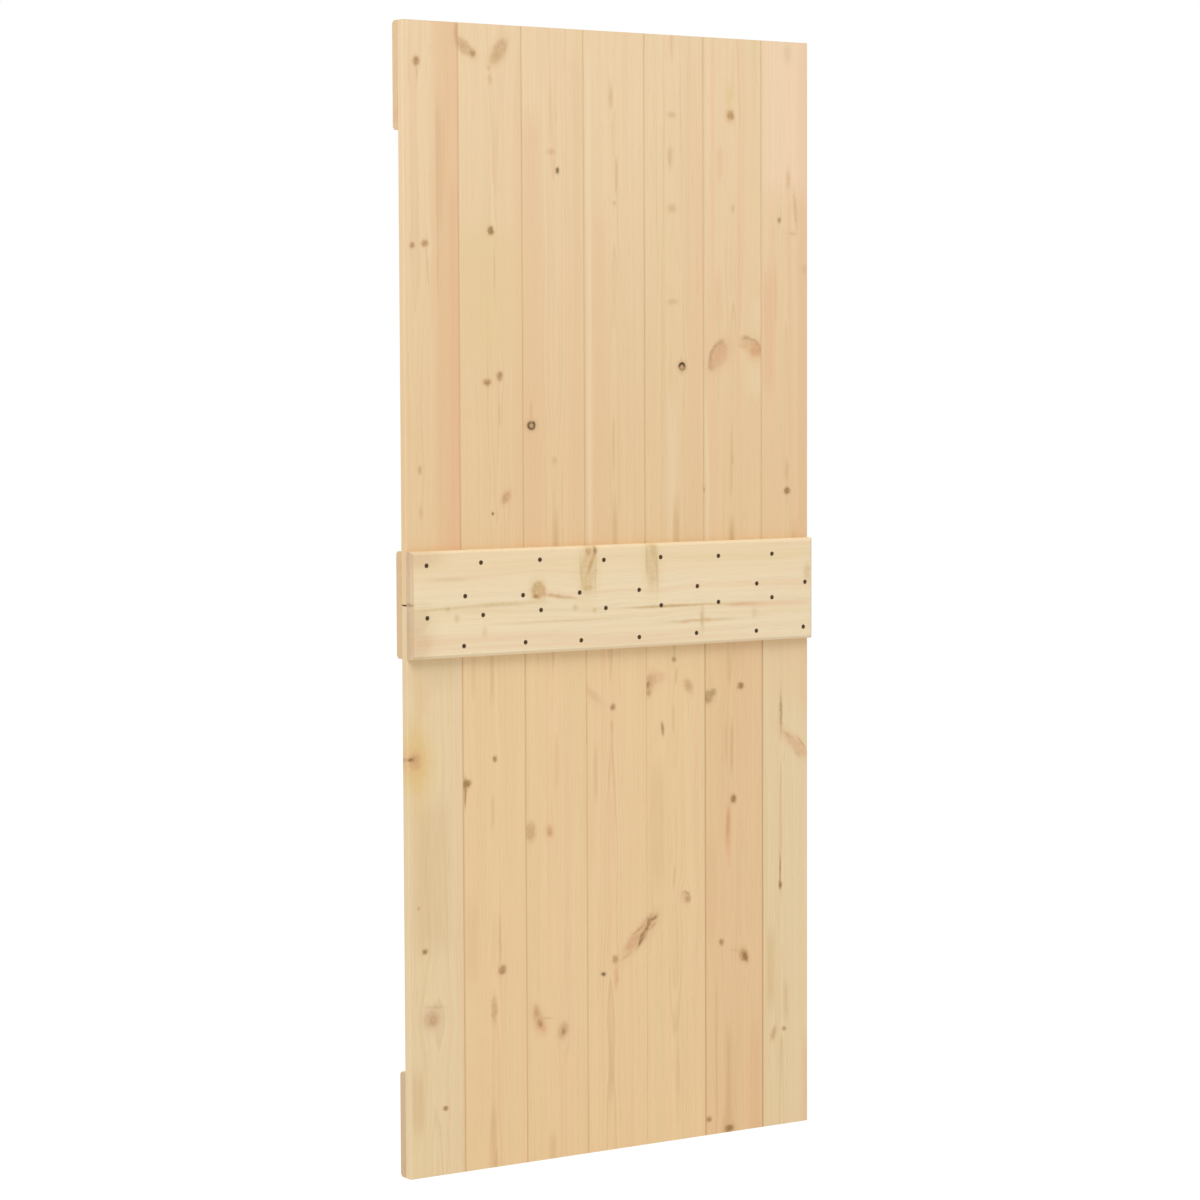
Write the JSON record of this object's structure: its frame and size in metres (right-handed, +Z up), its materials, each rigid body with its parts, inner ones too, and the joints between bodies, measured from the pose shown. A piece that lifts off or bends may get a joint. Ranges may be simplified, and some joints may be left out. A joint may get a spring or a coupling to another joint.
{
  "type": "barn door",
  "caption": "Plain ledged pine barn door leaf: tongue-and-groove boards in an upper and a lower half, clamped by wide bevelled rails, with flat faces for hangers, handle and floor guide.",
  "frame": {"origin": "middle of the outer face of the front top rail, where the hanger straps of a sliding track bolt on", "axes": "+X across the leaf, to the right as seen from behind; +Y out of the room side, normal to the hanger face; +Z up"},
  "size_m": [0.9, 0.054, 2.1],
  "materials": {
    "board_pine": "planed knotty pine, unfinished",
    "rail_pine": "planed knotty pine, unfinished",
    "screw_steel": "black phosphated steel"
  },
  "bodies": {
    "root": {"upper_board_1": "board_pine", "upper_board_2": "board_pine", "upper_board_3": "board_pine", "upper_board_4": "board_pine", "upper_board_5": "board_pine", "upper_board_6": "board_pine", "upper_board_7": "board_pine", "lower_board_1": "board_pine", "lower_board_2": "board_pine", "lower_board_3": "board_pine", "lower_board_4": "board_pine", "lower_board_5": "board_pine", "lower_board_6": "board_pine", "lower_board_7": "board_pine", "front_top_rail": "rail_pine", "front_middle_rail": "rail_pine", "front_bottom_rail": "rail_pine", "back_middle_rail": "rail_pine"}
  },
  "joints": []
}
